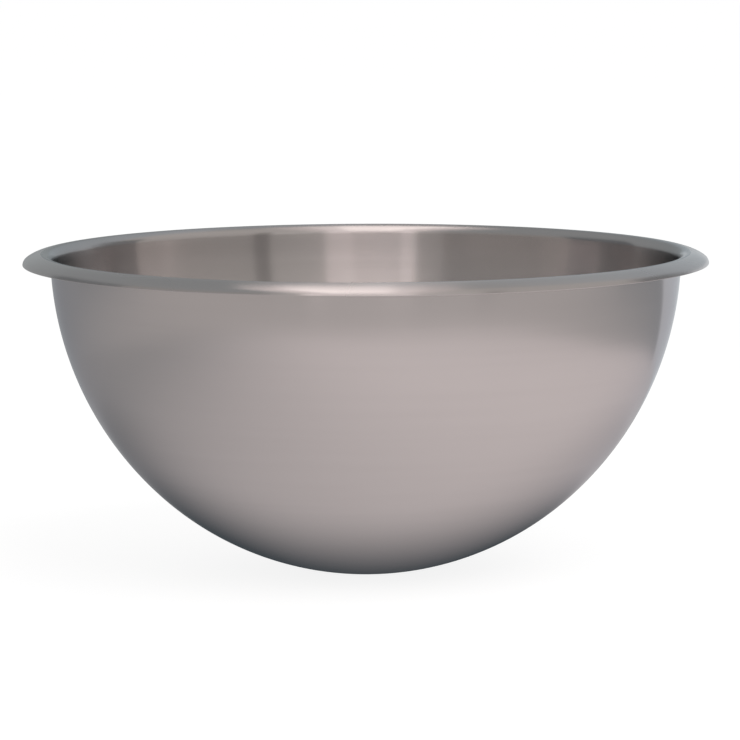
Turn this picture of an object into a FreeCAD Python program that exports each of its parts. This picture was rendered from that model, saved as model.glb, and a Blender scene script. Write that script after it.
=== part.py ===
"""Hemispherical mixing bowl, pressed from one disc of stainless steel sheet.

Millimetres, +Z up. The origin is the centre of the small flat that the bowl stands on.

The whole bowl is one sheet of even thickness turned about Z, so its section is a chain of
tangent stretches, from the middle of the base to the cut edge of the rim:

    base flat, base bend, lower wall, upper wall, cove, rim brow, rim lip

Every bend is given by its angle from the middle of the base, where 0 faces straight down and 90
faces straight out. The wall's skins bend about centres inside the bowl. The cove bends the other
way, about a centre outside it, and the brow and the lip close the rim over to a cut edge that
faces down.
"""
import FreeCAD
import Part
import math
import os

# Sheet
sheet_thickness = 0.8

# Rim, by its upper skin
crest_radius = 123.0        # from the axis to the highest circle of the rim
rim_edge_radius = 130.6     # from the axis to the widest circle of the rim
rim_drop = 4.1              # from the crest down to the cut edge
lip_radius = 2.5            # tight bend that ends at the cut edge

# Cove between the wall and the rim, by its lower skin
cove_radius = 3.0

# Wall, by its outer skin
upper_wall_radius = 126.0
wall_change_angle = 42.3    # where the lower wall's bend turns into the upper wall's
neck_angle = 88.15          # where the upper wall turns into the cove

# Base, by its outer skin
flat_radius = 10.0
base_bend_radius = 25.0


def direction(angle):
    """Unit vector in the section at this angle: 0 is straight down, 90 straight out."""
    turn = math.radians(angle)
    return FreeCAD.Vector(math.sin(turn), 0.0, -math.cos(turn))


class Bend:
    """One arc of the section, with the radii of its outer and inner skins.

    side is 1 where the bend's centre is inside the bowl, and -1 where it is outside.
    """

    def __init__(self, centre, outer_radius, start, end, side):
        self.centre = centre
        self.start = start
        self.end = end
        self.side = side
        self.outer_radius = outer_radius
        self.inner_radius = outer_radius - side * sheet_thickness

    def point(self, radius, angle):
        return self.centre + direction(angle) * (self.side * radius)

    def arc(self, radius):
        middle = (self.start + self.end) / 2.0
        ends = self.point(radius, self.start), self.point(radius, self.end)
        return Part.Arc(ends[0], self.point(radius, middle), ends[1]).toShape()


def wall_bends():
    """Return the base bend, the lower wall, the upper wall and the cove, with the crest at z = 0."""
    cove_centre = FreeCAD.Vector(crest_radius, 0.0, -cove_radius - sheet_thickness)
    upper_centre = cove_centre - direction(neck_angle) * (upper_wall_radius + cove_radius)
    # The lower wall's centre is on the axis, which settles its radius.
    radius_step = -upper_centre.x / direction(wall_change_angle).x
    lower_wall_radius = upper_wall_radius - radius_step
    lower_centre = upper_centre + direction(wall_change_angle) * radius_step
    # The base bend touches the lower wall and starts square with the axis at the flat's edge.
    base_angle = math.degrees(math.asin(flat_radius / (lower_wall_radius - base_bend_radius)))
    base_centre = lower_centre + direction(base_angle) * (lower_wall_radius - base_bend_radius)
    return [
        Bend(base_centre, base_bend_radius, 0.0, base_angle, 1),
        Bend(lower_centre, lower_wall_radius, base_angle, wall_change_angle, 1),
        Bend(upper_centre, upper_wall_radius, wall_change_angle, neck_angle, 1),
        Bend(cove_centre, cove_radius, neck_angle, 0.0, -1),
    ]


def rim_bends():
    """Return the brow and the lip, with the crest at z = 0.

    Their angles are counted on from the crest, so 180 faces straight up and 90 straight out.
    Their outer skin is the upper one.
    """
    width = rim_edge_radius - crest_radius
    brow_radius = (width ** 2 + rim_drop ** 2 - 2.0 * width * lip_radius) / (2.0 * (rim_drop - lip_radius))
    rise = math.degrees(math.atan2(width - lip_radius, brow_radius - rim_drop))
    brow_centre = FreeCAD.Vector(crest_radius, 0.0, -brow_radius)
    lip_centre = FreeCAD.Vector(rim_edge_radius - lip_radius, 0.0, -rim_drop)
    return [
        Bend(brow_centre, brow_radius, 180.0, 180.0 - rise, 1),
        Bend(lip_centre, lip_radius, 180.0 - rise, 90.0, 1),
    ]


def section():
    """Return the closed outline of the sheet's section, on one side of the axis."""
    wall = wall_bends()
    rim = rim_bends()
    outside = [bend.arc(bend.outer_radius) for bend in wall] + [bend.arc(bend.inner_radius) for bend in rim]
    inside = [bend.arc(bend.inner_radius) for bend in wall] + [bend.arc(bend.outer_radius) for bend in rim]
    skins = []
    for skin in (outside, inside):
        flat_edge = skin[0].firstVertex().Point
        axis_point = FreeCAD.Vector(0.0, 0.0, flat_edge.z)
        skins.append([Part.makeLine(axis_point, flat_edge)] + skin)
    axis_line = Part.makeLine(skins[0][0].firstVertex().Point, skins[1][0].firstVertex().Point)
    cut_edge = Part.makeLine(skins[0][-1].lastVertex().Point, skins[1][-1].lastVertex().Point)
    return Part.Wire(Part.__sortEdges__(skins[0] + [cut_edge] + skins[1] + [axis_line]))


def bowl():
    """Turn the section about the axis and stand the base flat on z = 0."""
    base_bend = wall_bends()[0]
    base_level = base_bend.point(base_bend.outer_radius, base_bend.start).z
    up = FreeCAD.Vector(0.0, 0.0, 1.0)
    solid = Part.Face(section()).revolve(FreeCAD.Vector(0.0, 0.0, 0.0), up, 360.0)
    solid.translate(up * -base_level)
    return solid


os.makedirs("parts", exist_ok=True)
bowl().exportStep("parts/bowl.step")
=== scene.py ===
"""Looks of the pressed steel mixing bowl: its turned and polished skins, and the studio round it.

Metres and degrees, in the CAD model's frame: +Z up, the base flat's centre at the origin, and the
front of the bowl facing -Y.
"""

import math

import bpy
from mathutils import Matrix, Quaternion, Vector


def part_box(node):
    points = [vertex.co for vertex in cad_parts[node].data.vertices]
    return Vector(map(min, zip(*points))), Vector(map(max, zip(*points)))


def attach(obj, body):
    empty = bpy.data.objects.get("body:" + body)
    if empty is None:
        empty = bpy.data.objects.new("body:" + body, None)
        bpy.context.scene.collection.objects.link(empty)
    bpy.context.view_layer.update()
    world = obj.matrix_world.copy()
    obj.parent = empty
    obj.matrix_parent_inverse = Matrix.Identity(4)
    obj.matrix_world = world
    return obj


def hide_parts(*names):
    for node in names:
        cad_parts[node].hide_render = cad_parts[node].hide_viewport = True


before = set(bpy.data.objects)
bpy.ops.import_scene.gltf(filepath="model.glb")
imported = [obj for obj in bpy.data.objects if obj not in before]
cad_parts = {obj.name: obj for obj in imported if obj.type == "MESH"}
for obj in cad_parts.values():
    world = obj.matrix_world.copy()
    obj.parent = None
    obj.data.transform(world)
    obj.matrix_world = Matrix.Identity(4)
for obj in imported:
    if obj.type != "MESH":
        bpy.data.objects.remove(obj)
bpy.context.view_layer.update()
_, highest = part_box("bowl")

# ---------------------------------------------------------------------------------------------
# The bowl's section, as the CAD source turns it
# ---------------------------------------------------------------------------------------------
SHEET = 0.0008
CREST_RADIUS = 0.123
RIM_EDGE_RADIUS = highest.x
CREST_HEIGHT = highest.z
RIM_DROP = 0.0041
LIP_RADIUS = 0.0025
COVE_RADIUS = 0.003
UPPER_WALL_RADIUS = 0.126
WALL_CHANGE_ANGLE = 42.3
NECK_ANGLE = 88.15
FLAT_RADIUS = 0.010
BASE_BEND_RADIUS = 0.025
EDGE_BREAK = 0.0002         # rounding left on the cut edge where it was deburred

# Faces along each stretch of the section, and round the bowl
FLAT_STEPS = 4
BASE_STEPS = 5
WALL_STEPS = 40
COVE_STEPS = 12
RIM_STEPS = 10
EDGE_STEPS = 4
AROUND = 288

TOTAL_TURN = 2.0 * math.pi
ON_AXIS = 1e-9              # a smaller radius than this is one point on the axis


def direction(angle):
    """Unit vector (radius, height) at this angle: 0 is straight down and 90 straight out."""
    return Vector((math.sin(math.radians(angle)), -math.cos(math.radians(angle))))


def arc(centre, radius, start, end, steps):
    """Evenly spaced points along an arc of the section, both of its ends among them."""
    return [centre + direction(start + (end - start) * i / steps) * radius for i in range(steps + 1)]


def wall_centres():
    """Centres and radii of the section's wall bends, with the crest at height 0."""
    cove = Vector((CREST_RADIUS, -COVE_RADIUS - SHEET))
    upper = cove - direction(NECK_ANGLE) * (UPPER_WALL_RADIUS + COVE_RADIUS)
    step = -upper.x / direction(WALL_CHANGE_ANGLE).x
    lower_radius = UPPER_WALL_RADIUS - step
    lower = upper + direction(WALL_CHANGE_ANGLE) * step
    base_angle = math.degrees(math.asin(FLAT_RADIUS / (lower_radius - BASE_BEND_RADIUS)))
    base = lower + direction(base_angle) * (lower_radius - BASE_BEND_RADIUS)
    return base, base_angle, lower, lower_radius, upper, cove


def skin(inset):
    """The wall's skin from the axis to the crest, inset from the outside by 0 or by the sheet."""
    base, base_angle, lower, lower_radius, upper, cove = wall_centres()
    flat_height = base.y - (BASE_BEND_RADIUS - inset)
    points = [Vector((FLAT_RADIUS * i / FLAT_STEPS, flat_height)) for i in range(FLAT_STEPS + 1)]
    points += arc(base, BASE_BEND_RADIUS - inset, 0.0, base_angle, BASE_STEPS)[1:]
    points += arc(lower, lower_radius - inset, base_angle, WALL_CHANGE_ANGLE, WALL_STEPS)[1:]
    points += arc(upper, UPPER_WALL_RADIUS - inset, WALL_CHANGE_ANGLE, NECK_ANGLE, WALL_STEPS)[1:]
    points += arc(cove, -(COVE_RADIUS + inset), NECK_ANGLE, 0.0, COVE_STEPS)[1:]
    return points


def rim(inset):
    """The rim's skin from the crest to the cut edge, inset from the top by 0 or by the sheet."""
    width = RIM_EDGE_RADIUS - CREST_RADIUS
    twice_fall = 2.0 * (RIM_DROP - LIP_RADIUS)
    brow_radius = (width ** 2 + RIM_DROP ** 2 - 2.0 * width * LIP_RADIUS) / twice_fall
    rise = math.degrees(math.atan2(width - LIP_RADIUS, brow_radius - RIM_DROP))
    brow = Vector((CREST_RADIUS, -brow_radius))
    lip = Vector((RIM_EDGE_RADIUS - LIP_RADIUS, -RIM_DROP))
    points = arc(brow, brow_radius - inset, 180.0, 180.0 - rise, RIM_STEPS)[1:]
    points += arc(lip, LIP_RADIUS - inset, 180.0 - rise, 90.0, RIM_STEPS)[1:]
    return points


def cut_edge():
    """The sheet's cut edge, from its outer corner to its inner one, with both corners broken."""
    outer = Vector((RIM_EDGE_RADIUS - EDGE_BREAK, -RIM_DROP + EDGE_BREAK))
    inner = Vector((RIM_EDGE_RADIUS - SHEET + EDGE_BREAK, -RIM_DROP + EDGE_BREAK))
    return arc(outer, EDGE_BREAK, 90.0, 0.0, EDGE_STEPS) + arc(inner, EDGE_BREAK, 0.0, -90.0, EDGE_STEPS)


def section():
    """One run of (radius, height, skin name): from under the base, round the rim, to the inside."""
    above_edge = -RIM_DROP + EDGE_BREAK * 1.01      # the rim's skins stop just above the broken corners
    run = [(p, "outside") for p in skin(0.0)]
    run += [(p, "outside") for p in rim(SHEET) if p.y > above_edge]
    run += [(p, "rim") for p in reversed(cut_edge())]
    run += [(p, "rim") for p in reversed(rim(0.0)) if p.y > above_edge]
    run += [(p, "inside") for p in reversed(skin(SHEET))]
    return [(p.x, p.y + CREST_HEIGHT, name) for p, name in run]


def lathe(name, run, materials):
    """Turn the section about Z into a mesh, with one vertex where it meets the axis.

    The point attribute "turned" holds (cos, sin, length along the section), so that a texture can
    follow the lathe's lines with no seam.
    """
    vertices = []
    turned = []
    rings = []
    length = 0.0
    last = None
    for radius, height, _ in run:
        if last is not None:
            length += math.hypot(radius - last[0], height - last[1])
        last = (radius, height)
        first = len(vertices)
        count = AROUND if radius > ON_AXIS else 1
        for i in range(count):
            angle = TOTAL_TURN * i / AROUND
            vertices.append((radius * math.cos(angle), radius * math.sin(angle), height))
            turned.append((math.cos(angle), math.sin(angle), length))
        rings.append((first, count))
    faces = []
    slots = []
    order = list(materials)
    for k in range(len(rings) - 1):
        (low, low_count), (high, high_count) = rings[k], rings[k + 1]
        for i in range(AROUND):
            j = (i + 1) % AROUND
            if low_count == 1:
                face = (low, high + j, high + i)
            elif high_count == 1:
                face = (low + i, low + j, high)
            else:
                face = (low + i, low + j, high + j, high + i)
            faces.append(face)
            slots.append(order.index(run[k + 1][2]))
    mesh = bpy.data.meshes.new(name)
    mesh.from_pydata(vertices, [], faces)
    for material in materials.values():
        mesh.materials.append(material)
    mesh.polygons.foreach_set("material_index", slots)
    mesh.polygons.foreach_set("use_smooth", [True] * len(faces))
    attribute = mesh.attributes.new("turned", "FLOAT_VECTOR", "POINT")
    attribute.data.foreach_set("vector", [value for point in turned for value in point])
    mesh.update()
    piece = bpy.data.objects.new(name, mesh)
    bpy.context.scene.collection.objects.link(piece)
    return piece


# ---------------------------------------------------------------------------------------------
# Node helpers
# ---------------------------------------------------------------------------------------------
class Shader:
    """A node material or world, with short calls for the nodes used here."""

    def __init__(self, owner):
        owner.use_nodes = True
        self.nodes = owner.node_tree.nodes
        self.links = owner.node_tree.links
        self.nodes.clear()

    def put(self, socket, value):
        """Link the value to the socket if it comes from a node, or else write it there."""
        if isinstance(value, bpy.types.NodeSocket):
            self.links.new(value, socket)
        else:
            socket.default_value = value

    def node(self, kind, settings=None, **inputs):
        made = self.nodes.new(kind)
        for key, value in (settings or {}).items():
            setattr(made, key, value)
        for key, value in inputs.items():
            self.put(made.inputs[key.replace("_", " ")], value)
        return made

    def math(self, operation, *values):
        made = self.nodes.new("ShaderNodeMath")
        made.operation = operation
        for socket, value in zip(made.inputs, values):
            self.put(socket, value)
        return made.outputs[0]

    def vector_math(self, operation, first, second):
        made = self.nodes.new("ShaderNodeVectorMath")
        made.operation = operation
        self.put(made.inputs[0], first)
        self.put(made.inputs[1], second)
        return made

    def ramp(self, value, low, high, to_low, to_high, smooth=False):
        made = self.nodes.new("ShaderNodeMapRange")
        made.interpolation_type = "SMOOTHSTEP" if smooth else "LINEAR"
        for key, number in (("Value", value), ("From Min", low), ("From Max", high),
                            ("To Min", to_low), ("To Max", to_high)):
            self.put(made.inputs[key], number)
        return made.outputs["Result"]

    def mix(self, factor, first, second):
        """Mix two colours. The node shows its colour sockets by number: 6 and 7 in, 2 out."""
        made = self.nodes.new("ShaderNodeMix")
        made.data_type = "RGBA"
        self.put(made.inputs[0], factor)
        self.put(made.inputs[6], first)
        self.put(made.inputs[7], second)
        return made.outputs[2]

    def mix_shaders(self, factor, first, second):
        made = self.nodes.new("ShaderNodeMixShader")
        self.put(made.inputs[0], factor)
        self.put(made.inputs[1], first)
        self.put(made.inputs[2], second)
        return made.outputs[0]

    def finish(self, surface, kind="ShaderNodeOutputMaterial"):
        self.put(self.node(kind).inputs["Surface"], surface)


# ---------------------------------------------------------------------------------------------
# Steel
# ---------------------------------------------------------------------------------------------
STEEL = (0.60, 0.555, 0.548)
WHITE = (1.0, 1.0, 1.0)
WAVE_DEPTH = 0.00012        # how far the sheet wanders from its true shape
LINE_DEPTH = 4e-7           # depth of the lathe's lines
ROUGHNESS_SPREAD = 0.20     # the roughness wanders by this share of itself, over the range of the noise


def steel(name, dark, roughness, anisotropy, edge_tint):
    """Stainless steel turned and polished on a lathe.

    The lines run round the bowl, so highlights are drawn out across them, along the section. The
    edge tint darkens what is reflected at grazing angles.
    """
    material = bpy.data.materials.new(name)
    sh = Shader(material)
    turned = sh.node("ShaderNodeAttribute", {"attribute_name": "turned"}).outputs["Vector"]

    def turned_noise(around, along, detail):
        """Noise drawn out round the bowl: along is how fast it changes per metre of the section."""
        scaled = sh.vector_math("MULTIPLY", turned, (around, around, along))
        return sh.node("ShaderNodeTexNoise", Vector=scaled.outputs[0], Scale=1.0, Detail=detail,
                       Roughness=0.6).outputs["Fac"]

    place = sh.node("ShaderNodeTexCoord").outputs["Object"]
    lines = turned_noise(1.3, 2600.0, 2.0)
    bands = turned_noise(0.9, 260.0, 3.0)
    clouds = sh.node("ShaderNodeTexNoise", Vector=place, Scale=16.0, Detail=4.0,
                     Roughness=0.55).outputs["Fac"]
    wander = sh.node("ShaderNodeTexNoise", Vector=place, Scale=9.0, Detail=1.0).outputs["Fac"]

    tone = sh.math("ADD", sh.math("MULTIPLY", bands, 0.5), sh.math("MULTIPLY", clouds, 0.5))
    colour = sh.mix(sh.ramp(tone, 0.3, 0.7, 0.0, 1.0), (*dark, 1.0), (*STEEL, 1.0))
    smoothest = roughness * (1.0 - ROUGHNESS_SPREAD)
    roughest = roughness * (1.0 + ROUGHNESS_SPREAD)
    rough = sh.ramp(wander, 0.15, 0.85, smoothest, roughest)

    waves = sh.node("ShaderNodeBump", Strength=1.0, Distance=WAVE_DEPTH, Height=wander)
    grooves = sh.node("ShaderNodeBump", Strength=1.0, Distance=LINE_DEPTH, Height=lines,
                      Normal=waves.outputs["Normal"])
    tangent = sh.node("ShaderNodeTangent", {"direction_type": "RADIAL", "axis": "Z"})
    metal = sh.node("ShaderNodeBsdfPrincipled", Base_Color=colour, Roughness=rough,
                    Normal=grooves.outputs["Normal"], Tangent=tangent.outputs["Tangent"])
    metal.inputs["Metallic"].default_value = 1.0
    metal.inputs["Specular Tint"].default_value = (*edge_tint, 1.0)
    metal.inputs["Anisotropic"].default_value = anisotropy
    metal.inputs["Anisotropic Rotation"].default_value = 0.25       # a quarter turn: along the section
    sh.finish(metal.outputs["BSDF"])
    return material


def bowl():
    materials = {
        "outside": steel("steel_outside", (0.58, 0.536, 0.529), 0.16, 0.9, (0.78, 0.79, 0.82)),
        "rim": steel("steel_rim", (0.57, 0.527, 0.52), 0.28, 1.0, WHITE),
        "inside": steel("steel_inside", (0.55, 0.51, 0.50), 0.22, 1.0, (0.74, 0.76, 0.77)),
    }
    piece = lathe("bowl_pressed_sheet", section(), materials)
    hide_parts("bowl")
    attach(piece, "root")
    return piece


# ---------------------------------------------------------------------------------------------
# Studio
# ---------------------------------------------------------------------------------------------
# What the steel reflects is made of glowing cards and a glowing floor that only glossy rays see,
# so that the floor in the picture can be lit by itself. Azimuth 0 is the front, -Y, and 90 is +X.
NEUTRAL = (1.0, 0.985, 0.95)
PINK = (1.0, 0.94, 0.92)
COOL = (1.0, 1.05, 1.08)
BLUE = (1.0, 1.10, 1.16)

# name, from azimuth, to azimuth, from elevation, to elevation, distance, colour, strength
CARDS = (
    ("doorway", -125.0, -86.0, -3.5, 24.0, 2.0, BLUE, 0.165),
    ("wall_left", -86.0, -31.0, -3.5, 24.0, 2.0, NEUTRAL, 0.365),
    ("window_left", -31.0, -20.0, -3.5, 28.0, 2.0, NEUTRAL, 0.53),
    ("window_edge", -20.0, -14.0, -3.5, 28.0, 2.0, PINK, 1.30),
    ("window_middle", -14.0, 5.0, -3.5, 28.0, 2.0, PINK, 0.92),
    ("window_right", 5.0, 16.0, -3.5, 28.0, 2.0, PINK, 1.15),
    ("curtain", 16.0, 38.5, -3.5, 28.0, 2.0, NEUTRAL, 0.66),
    ("curtain_gap", 38.5, 45.0, -3.5, 28.0, 2.0, NEUTRAL, 0.30),
    ("wall_right", 45.0, 100.0, -3.5, 28.0, 2.0, NEUTRAL, 0.54),
    ("corner_right", 100.0, 131.0, -3.5, 28.0, 2.0, COOL, 0.22),
    ("wall_right_high", 16.0, 121.0, 28.0, 75.0, 2.0, NEUTRAL, 0.56),
    ("wall_back", 131.0, 178.0, -8.7, 4.0, 0.8, COOL, 0.67),
    ("wall_back_high", 121.0, 180.0, 4.0, 60.0, 2.0, BLUE, 0.46),
)
CARD_FACET = 5.0            # degrees that one flat face of a curved card spans, about

# The ceiling lamp, overhead: where each strip starts at its front and its back, from the left, and
# how bright it is. The last line closes the strip before it.
LAMP_HEIGHT = 0.6
LAMP_FRONT = -0.95
LAMP_BACK = 0.25
LAMP_STRIPS = (
    ("lamp_left", -0.40, -0.205, 0.95),
    ("lamp_bright", -0.18, -0.145, 1.76),
    ("lamp_middle", -0.07, -0.085, 1.62),
    ("lamp_right", 0.12, 0.035, 1.10),
    ("lamp_edge", 0.24, 0.080, 0.78),
    ("lamp_end", 0.38, 0.130, 0.0),
)

FLOOR_SIDE = 80.0           # wide enough for its far edge to stay out of sight
TABLE_HALF_WIDTH = 0.32
TABLE_HALF_DEPTH = 0.35
TABLE_ROUNDNESS = 2.7       # the power of its superellipse: 2 would be an ellipse
# painted light: the table's glow on its dim side and on its lit side
TABLE_DIM = (0.390, 0.397, 0.402, 1.0)
TABLE_LIT = (0.83, 0.79, 0.785, 1.0)
ROOM_BACK = (0.370, 0.385, 0.395, 1.0)
ROOM_FRONT = (0.56, 0.545, 0.535, 1.0)
ROOM_BACK_RIGHT = (0.65, 0.67, 0.69, 1.0)
# painted shadow: the colour the reflected floor glows where the bowl's shadow falls on it
SHADOW = (0.055, 0.062, 0.068, 1.0)
# painted shade: the reflected floor's glow right under the bowl, where its shadow falls
SHADE_UNDER_BOWL = (0.072, 0.088, 0.097, 1.0)


def aim(azimuth, elevation):
    """Unit vector from the bowl's mouth."""
    a, e = math.radians(azimuth), math.radians(elevation)
    return Vector((math.sin(a) * math.cos(e), -math.cos(a) * math.cos(e), math.sin(e)))


def seen_by(piece, camera=False, glossy=False):
    piece.visible_camera = camera
    piece.visible_glossy = glossy
    piece.visible_diffuse = False
    piece.visible_transmission = False
    piece.visible_shadow = False


def stage_mesh(name, vertices, faces, material):
    mesh = bpy.data.meshes.new(name)
    mesh.from_pydata(vertices, [], faces)
    mesh.materials.append(material)
    made = bpy.data.objects.new(name, mesh)
    bpy.context.scene.collection.objects.link(made)
    return made


def glow(name, colour, strength):
    material = bpy.data.materials.new(name)
    sh = Shader(material)
    sh.finish(sh.node("ShaderNodeEmission", Color=(*colour, 1.0), Strength=strength).outputs[0])
    return material


def curved_card(name, az_from, az_to, el_from, el_to, distance, colour, strength):
    """A glowing card that curves round the bowl."""
    mouth = Vector((0.0, 0.0, CREST_HEIGHT))
    columns = max(2, round((az_to - az_from) / CARD_FACET))
    rows = max(2, round((el_to - el_from) / CARD_FACET))
    vertices = []
    for i in range(columns + 1):
        for j in range(rows + 1):
            azimuth = az_from + (az_to - az_from) * i / columns
            elevation = el_from + (el_to - el_from) * j / rows
            vertices.append(mouth + aim(azimuth, elevation) * distance)
    faces = []
    for i in range(columns):
        for j in range(rows):
            k = i * (rows + 1) + j
            faces.append((k, k + 1, k + rows + 2, k + rows + 1))
    seen_by(stage_mesh(name, vertices, faces, glow(name, colour, strength)), glossy=True)


def ceiling_lamp():
    """A wide lamp overhead, brightest left of its middle, that narrows towards the back."""
    height = CREST_HEIGHT + LAMP_HEIGHT
    for (name, front, back, strength), (_, next_front, next_back, _) in zip(LAMP_STRIPS, LAMP_STRIPS[1:]):
        outline = ((front, LAMP_FRONT), (next_front, LAMP_FRONT), (next_back, LAMP_BACK), (back, LAMP_BACK))
        vertices = [(x, y, height) for x, y in outline]
        strip = stage_mesh(name, vertices, [(0, 1, 2, 3)], glow(name, PINK, strength))
        seen_by(strip, glossy=True)


def floor(name, height, material):
    h = FLOOR_SIDE / 2.0
    corners = [(-h, -h, height), (h, -h, height), (h, h, height), (-h, h, height)]
    return stage_mesh(name, corners, [(0, 1, 2, 3)], material)


def floor_seen():
    """The pale floor as the camera sees it, nearly white, with a soft shadow."""
    material = bpy.data.materials.new("floor_seen")
    sh = Shader(material)
    matt = sh.node("ShaderNodeBsdfDiffuse", Color=(0.22, 0.22, 0.22, 1.0))
    light = sh.node("ShaderNodeEmission", Color=(1.0, 1.0, 1.0, 1.0), Strength=0.87)
    both = sh.node("ShaderNodeAddShader")
    sh.put(both.inputs[0], matt.outputs[0])
    sh.put(both.inputs[1], light.outputs[0])
    sh.finish(both.outputs[0])
    seen_by(floor("floor_seen", -0.0002, material), camera=True)


def floor_reflected():
    """The floor as the steel sees it: a pale table top with round corners, in a darker room, all painted
    into its glow.

    The table carries painted light, lighter towards the right front, and painted shadows that darken it
    under and behind the bowl.
    """
    material = bpy.data.materials.new("floor_reflected")
    sh = Shader(material)
    place = sh.node("ShaderNodeTexCoord").outputs["Object"]

    def distance_from(x, y):
        return sh.vector_math("DISTANCE", place, (x, y, 0.0)).outputs["Value"]

    def along(x, y):
        """How far a place is from the axis in this direction."""
        return sh.vector_math("DOT_PRODUCT", place, (x, y, 0.0)).outputs["Value"]

    def rounded(coordinate, half_size):
        share = sh.math("ABSOLUTE", sh.math("DIVIDE", coordinate, half_size))
        return sh.math("POWER", share, TABLE_ROUNDNESS)

    split = sh.node("ShaderNodeSeparateXYZ", Vector=place)
    across = rounded(split.outputs["X"], TABLE_HALF_WIDTH)
    deep = rounded(split.outputs["Y"], TABLE_HALF_DEPTH)
    table_radius = sh.math("POWER", sh.math("ADD", across, deep), 1.0 / TABLE_ROUNDNESS)

    # Painted light: the table glows brighter towards the right front, where the light falls on it.
    lit_side = sh.ramp(along(0.80, -0.60), -0.230, 0.22, 0.0, 1.0, True)
    table = sh.mix(lit_side, TABLE_DIM, TABLE_LIT)

    front = sh.ramp(along(0.0, 1.0), 0.45, -0.40, 0.0, 1.0, True)
    past_corner = sh.ramp(along(-0.656, 0.755), -0.01, 0.01, 0.0, 1.0, True)
    on_right = sh.ramp(along(1.0, 0.0), 0.02, 0.14, 0.0, 1.0, True)
    room_floor = sh.mix(sh.math("MULTIPLY", past_corner, on_right), sh.mix(front, ROOM_BACK, ROOM_FRONT),
                        ROOM_BACK_RIGHT)
    lit = sh.mix(sh.ramp(table_radius, 0.985, 1.015, 1.0, 0.0, True), room_floor, table)

    # Painted shadows of the bowl, falling behind it to the left and to the right.
    shadow_left = sh.ramp(distance_from(-0.080, 0.080), 0.040, 0.160, 0.36, 0.0, True)
    shadow_right = sh.ramp(distance_from(0.050, 0.080), 0.105, 0.170, 0.13, 0.0, True)
    shaded = sh.mix(sh.math("MAXIMUM", shadow_left, shadow_right), lit, SHADOW)

    # A painted shadow under the bowl: the glow darkens close round it and lightens again behind it.
    past_bowl_shade = sh.ramp(distance_from(-0.003, 0.047), 0.059, 0.133, 0.0, 1.0, True)
    behind = sh.ramp(along(0.0, 1.0), 0.02, 0.13, 0.0, 0.85, True)
    out_of_painted_shade = sh.math("MAXIMUM", past_bowl_shade, behind)
    light = sh.node("ShaderNodeEmission", Strength=1.0, Color=sh.mix(out_of_painted_shade, SHADE_UNDER_BOWL, shaded))
    sh.finish(light.outputs[0])
    seen_by(floor("floor_reflected", -0.0006, material), glossy=True)


def room():
    """White all round for the floor and the camera, and a mid grey room for the steel."""
    world = bpy.data.worlds.new("room")
    bpy.context.scene.world = world
    sh = Shader(world)
    path = sh.node("ShaderNodeLightPath")
    white = sh.node("ShaderNodeBackground", Color=(1.0, 1.0, 1.0, 1.0), Strength=0.6)
    backdrop = sh.node("ShaderNodeBackground", Color=(1.0, 1.0, 1.0, 1.0), Strength=1.0)
    grey = sh.node("ShaderNodeBackground", Color=(0.355, 0.382, 0.390, 1.0), Strength=1.0)
    lit = sh.mix_shaders(path.outputs["Is Camera Ray"], white.outputs[0], backdrop.outputs[0])
    both = sh.mix_shaders(path.outputs["Is Glossy Ray"], lit, grey.outputs[0])
    sh.finish(both, "ShaderNodeOutputWorld")


def softbox(name, azimuth, elevation, distance, size, power):
    """An area light that lights the floor. The cards stand for it in the steel."""
    data = bpy.data.lights.new(name, "AREA")
    data.shape = "SQUARE"
    data.size = size
    data.energy = power
    light = bpy.data.objects.new(name, data)
    light.location = aim(azimuth, elevation) * distance
    light.rotation_euler = (-light.location).to_track_quat("-Z", "Y").to_euler()
    bpy.context.scene.collection.objects.link(light)
    light.visible_camera = False
    light.visible_glossy = False


def camera():
    """The photo's camera: in front, a little above the rim, with a long lens."""
    distance = 1.56
    elevation = 5.205
    below_rim = 1.669           # degrees that it aims below the rim's centre
    right_of_axis = 0.055       # degrees that it aims to the right of the axis
    roll = 0.185
    data = bpy.data.cameras.new("camera")
    data.lens = 198.83
    data.clip_end = 200.0
    made = bpy.data.objects.new("camera", data)
    made.location = Vector((0.0, 0.0, CREST_HEIGHT)) + aim(0.0, elevation) * distance
    look = -aim(-right_of_axis, elevation + below_rim)
    made.rotation_mode = "QUATERNION"
    rolled = Quaternion((0.0, 0.0, 1.0), -math.radians(roll))
    made.rotation_quaternion = look.to_track_quat("-Z", "Y") @ rolled
    bpy.context.scene.collection.objects.link(made)
    bpy.context.scene.camera = made


bpy.context.scene.view_settings.view_transform = "Standard"
bowl()
camera()
room()
floor_seen()
floor_reflected()
softbox("key", azimuth=35.0, elevation=50.0, distance=1.4, size=1.2, power=9.0)
ceiling_lamp()
for card in CARDS:
    curved_card(*card)
